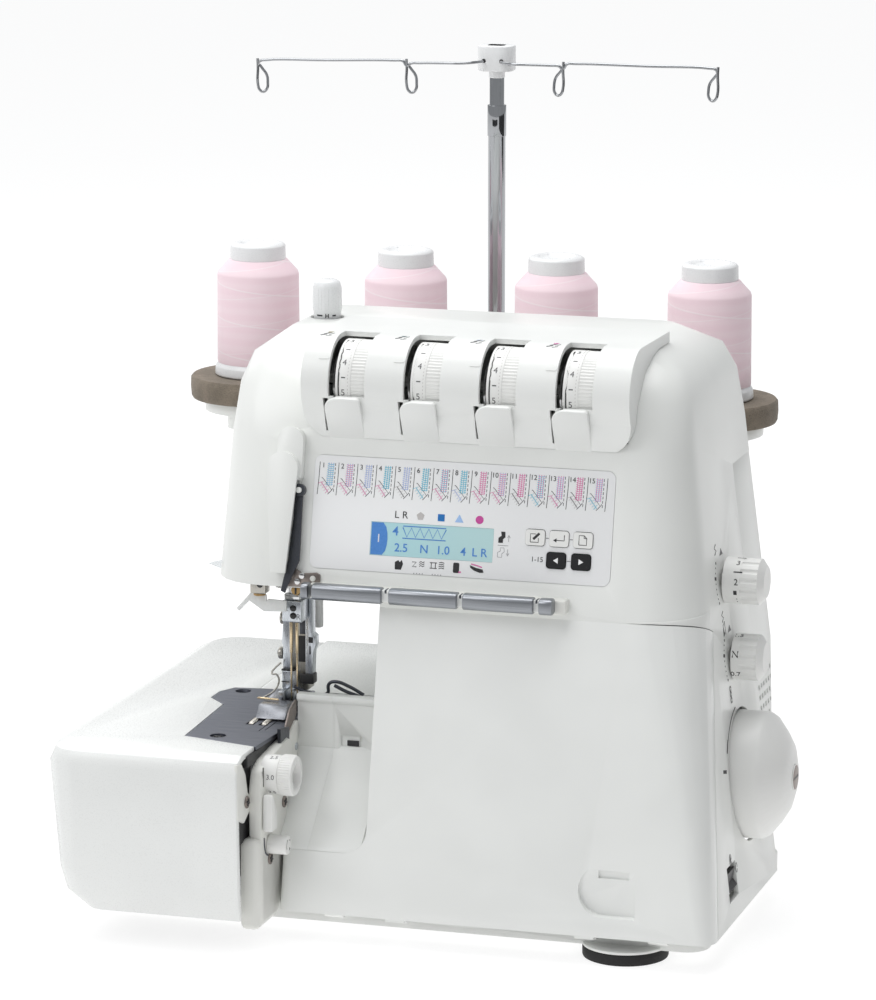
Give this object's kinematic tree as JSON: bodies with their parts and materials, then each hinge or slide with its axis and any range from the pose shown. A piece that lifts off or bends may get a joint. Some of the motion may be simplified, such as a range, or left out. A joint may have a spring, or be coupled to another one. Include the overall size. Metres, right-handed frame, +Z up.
{
  "type": "serger overlock machine",
  "caption": "Household serger with a cone thread stand and telescopic antenna, tension dials, display panel, handwheel, swinging looper cover and sliding cloth plate.",
  "frame": {"origin": "on the table under the feet, at the middle of the whole outline in plan", "axes": "+Z up, +X towards the handwheel, -Y towards the operator"},
  "size_m": [0.381, 0.33, 0.431],
  "materials": {
    "casing": "satin, warm white",
    "dial_plastic": "satin white",
    "black_plastic": "satin black",
    "rubber": "matt black",
    "panel": "pale grey film",
    "lcd": "pale cyan display",
    "board": "green circuit board",
    "rail_steel": "satin silver",
    "frame_aluminium": "die cast",
    "plate_steel": "dark satin steel",
    "bright_steel": "polished",
    "bronze": "sintered bronze",
    "motor_steel": "dark enamel",
    "thread": "pink sewing thread",
    "foam": "taupe foam",
    "dark_steel": "dark satin"
  },
  "bodies": {
    "machine": {"base_tray": "casing", "rubber_feet": "rubber", "cast_frame": "frame_aluminium", "upper_shell": "casing", "rear_cover": "casing", "dial_unit_cover": "casing", "control_panel": "panel", "lcd_module": "lcd", "circuit_board": "board", "thread_rail": "rail_steel", "inner_wall": "casing", "bed_arm": "frame_aluminium", "bed_cover": "casing", "needle_plate": "plate_steel", "motor": "motor_steel", "drive_belt": "rubber", "shaft_bushes": "bronze", "takeup_covers": "casing", "head_guides": "rail_steel", "tension_posts": "bright_steel", "spool_stand": "casing", "foam_discs": "foam"},
    "cloth_plate": {"cloth_plate": "casing"},
    "cover_bar": {"cover_hinge_bar": "bright_steel"},
    "looper_cover": {"looper_cover": "casing"},
    "handwheel": {"main_shaft": "bright_steel", "handwheel": "dial_plastic"},
    "motor_rotor": {"motor_pulley": "bright_steel"},
    "needle_bar": {"needle_bar": "bright_steel", "needle_clamp": "bright_steel"},
    "presser": {"presser_bar": "rail_steel", "presser_foot": "plate_steel"},
    "foot_lifter": {"foot_lifter": "casing"},
    "takeup_lever": {"takeup_lever": "dark_steel"},
    "upper_looper": {"upper_looper": "bright_steel"},
    "lower_looper": {"lower_looper": "bright_steel"},
    "feed_dogs": {"feed_dogs": "bright_steel"},
    "upper_knife": {"upper_knife": "dark_steel"},
    "antenna_tube": {"antenna_tube": "bright_steel"},
    "antenna_head": {"antenna_head": "bright_steel"},
    "tension_dial_1": {"tension_dial_1": "dial_plastic"},
    "tension_dial_2": {"tension_dial_2": "dial_plastic"},
    "tension_dial_3": {"tension_dial_3": "dial_plastic"},
    "tension_dial_4": {"tension_dial_4": "dial_plastic"},
    "length_dial": {"length_dial": "dial_plastic"},
    "differential_dial": {"differential_dial": "dial_plastic"},
    "width_dial": {"width_dial": "dial_plastic"},
    "width_knob": {"width_knob": "dial_plastic"},
    "finger_lever": {"finger_lever": "dial_plastic"},
    "button_edit": {"button_edit": "dial_plastic"},
    "button_enter": {"button_enter": "dial_plastic"},
    "button_page": {"button_page": "dial_plastic"},
    "button_back": {"button_back": "black_plastic"},
    "button_next": {"button_next": "black_plastic"},
    "power_switch": {"power_switch": "black_plastic"},
    "pressure_knob": {"pressure_knob": "dial_plastic"},
    "thread_cone_1": {"thread_cone_1": "thread"},
    "thread_cone_2": {"thread_cone_2": "thread"},
    "thread_cone_3": {"thread_cone_3": "thread"},
    "thread_cone_4": {"thread_cone_4": "thread"}
  },
  "joints": [
    {"name": "cloth_plate_slide", "type": "slide", "parent": "machine", "child": "cloth_plate", "axis": [-1, 0, 0], "range_m": [0, 0.02]},
    {"name": "cover_slide", "type": "slide", "parent": "machine", "child": "cover_bar", "axis": [1, 0, 0], "range_m": [0, 0.005]},
    {"name": "cover_tilt", "type": "hinge", "parent": "cover_bar", "child": "looper_cover", "pos_m": [0, -0.118, 0.016], "axis": [1, 0, 0], "range_deg": [0, 45]},
    {"name": "handwheel_turn", "type": "hinge", "parent": "machine", "child": "handwheel", "pos_m": [0, -0.025, 0.078], "axis": [1, 0, 0], "continuous": true},
    {"name": "motor_turn", "type": "hinge", "parent": "machine", "child": "motor_rotor", "pos_m": [0, 0.03, 0.056], "axis": [1, 0, 0], "continuous": true},
    {"name": "needle_bar_stroke", "type": "slide", "parent": "machine", "child": "needle_bar", "axis": [0, 0, 1], "range_m": [-0.008, 0.016]},
    {"name": "foot_lifter_turn", "type": "hinge", "parent": "machine", "child": "foot_lifter", "pos_m": [-0.048, 0.044, 0.19], "axis": [1, 0, 0], "range_deg": [0, 18]},
    {"name": "presser_lift", "type": "slide", "parent": "machine", "child": "presser", "axis": [0, 0, 1], "range_m": [0, 0.0055]},
    {"name": "takeup_swing", "type": "hinge", "parent": "machine", "child": "takeup_lever", "pos_m": [-0.057, -0.08369, 0.226], "axis": [0, -0.9787, 0.2055], "range_deg": [-5, 5]},
    {"name": "upper_looper_swing", "type": "hinge", "parent": "machine", "child": "upper_looper", "pos_m": [-0.052, -0.03, 0.044], "axis": [0, 1, 0], "range_deg": [-5, 5]},
    {"name": "lower_looper_swing", "type": "hinge", "parent": "machine", "child": "lower_looper", "pos_m": [-0.03, -0.03, 0.044], "axis": [0, 1, 0], "range_deg": [-5, 5]},
    {"name": "feed_stroke", "type": "slide", "parent": "machine", "child": "feed_dogs", "axis": [0, 1, 0], "range_m": [-0.0015, 0.0015]},
    {"name": "upper_knife_stroke", "type": "hinge", "parent": "machine", "child": "upper_knife", "pos_m": [-0.062, -0.084, 0.064], "axis": [1, 0, 0], "range_deg": [-2, 2]},
    {"name": "tension_dial_1_turn", "type": "hinge", "parent": "machine", "child": "tension_dial_1", "pos_m": [-0.0395, -0.062, 0.281], "axis": [1, 0, 0], "range_deg": [-140, 140]},
    {"name": "tension_dial_2_turn", "type": "hinge", "parent": "machine", "child": "tension_dial_2", "pos_m": [0.0005, -0.062, 0.281], "axis": [1, 0, 0], "range_deg": [-140, 140]},
    {"name": "tension_dial_3_turn", "type": "hinge", "parent": "machine", "child": "tension_dial_3", "pos_m": [0.0405, -0.062, 0.281], "axis": [1, 0, 0], "range_deg": [-140, 140]},
    {"name": "tension_dial_4_turn", "type": "hinge", "parent": "machine", "child": "tension_dial_4", "pos_m": [0.0805, -0.062, 0.281], "axis": [1, 0, 0], "range_deg": [-140, 140]},
    {"name": "length_dial_turn", "type": "hinge", "parent": "machine", "child": "length_dial", "pos_m": [0.16, -0.025, 0.18], "axis": [1, 0, 0], "range_deg": [-90, 150]},
    {"name": "differential_dial_turn", "type": "hinge", "parent": "machine", "child": "differential_dial", "pos_m": [0.16, -0.025, 0.14], "axis": [1, 0, 0], "range_deg": [-60, 90]},
    {"name": "width_dial_turn", "type": "hinge", "parent": "machine", "child": "width_dial", "pos_m": [-0.052, -0.132, 0.088], "axis": [1, 0, 0], "range_deg": [-60, 60]},
    {"name": "width_knob_turn", "type": "hinge", "parent": "machine", "child": "width_knob", "pos_m": [-0.053, -0.135, 0.052], "axis": [1, 0, 0], "range_deg": [-45, 45]},
    {"name": "finger_lever_slide", "type": "slide", "parent": "machine", "child": "finger_lever", "axis": [0, 0, 1], "range_m": [-0.003, 0.002]},
    {"name": "button_edit_press", "type": "slide", "parent": "machine", "child": "button_edit", "axis": [0, 0.9787, -0.2055], "range_m": [0, 0.001], "stiffness_N_per_m": 300},
    {"name": "button_enter_press", "type": "slide", "parent": "machine", "child": "button_enter", "axis": [0, 0.9787, -0.2055], "range_m": [0, 0.001], "stiffness_N_per_m": 300},
    {"name": "button_page_press", "type": "slide", "parent": "machine", "child": "button_page", "axis": [0, 0.9787, -0.2055], "range_m": [0, 0.001], "stiffness_N_per_m": 300},
    {"name": "button_back_press", "type": "slide", "parent": "machine", "child": "button_back", "axis": [0, 0.9787, -0.2055], "range_m": [0, 0.001], "stiffness_N_per_m": 300},
    {"name": "button_next_press", "type": "slide", "parent": "machine", "child": "button_next", "axis": [0, 0.9787, -0.2055], "range_m": [0, 0.001], "stiffness_N_per_m": 300},
    {"name": "power_switch_rock", "type": "hinge", "parent": "machine", "child": "power_switch", "pos_m": [0.16162, -0.075, 0.034], "axis": [0, 1, 0], "range_deg": [-6, 6]},
    {"name": "pressure_knob_turn", "type": "hinge", "parent": "machine", "child": "pressure_knob", "pos_m": [-0.0725, 0.006, 0.3], "axis": [0, 0, 1], "range_deg": [-160, 160]},
    {"name": "antenna_tube_slide", "type": "slide", "parent": "machine", "child": "antenna_tube", "axis": [0, 0, 1], "range_m": [-0.065, 0]},
    {"name": "antenna_head_slide", "type": "slide", "parent": "antenna_tube", "child": "antenna_head", "axis": [0, 0, 1], "range_m": [-0.013, 0]},
    {"name": "thread_cone_1_lift", "type": "slide", "parent": "machine", "child": "thread_cone_1", "axis": [0, 0, 1], "range_m": [0, 0.06]},
    {"name": "thread_cone_2_lift", "type": "slide", "parent": "machine", "child": "thread_cone_2", "axis": [0, 0, 1], "range_m": [0, 0.06]},
    {"name": "thread_cone_3_lift", "type": "slide", "parent": "machine", "child": "thread_cone_3", "axis": [0, 0, 1], "range_m": [0, 0.06]},
    {"name": "thread_cone_4_lift", "type": "slide", "parent": "machine", "child": "thread_cone_4", "axis": [0, 0, 1], "range_m": [0, 0.06]}
  ],
  "couplings": [
    {"joint": "motor_turn", "follows": "handwheel_turn", "ratio": 2.75},
    {"joint": "presser_lift", "follows": "foot_lifter_turn", "m_per_rad": 0.0175}
  ]
}
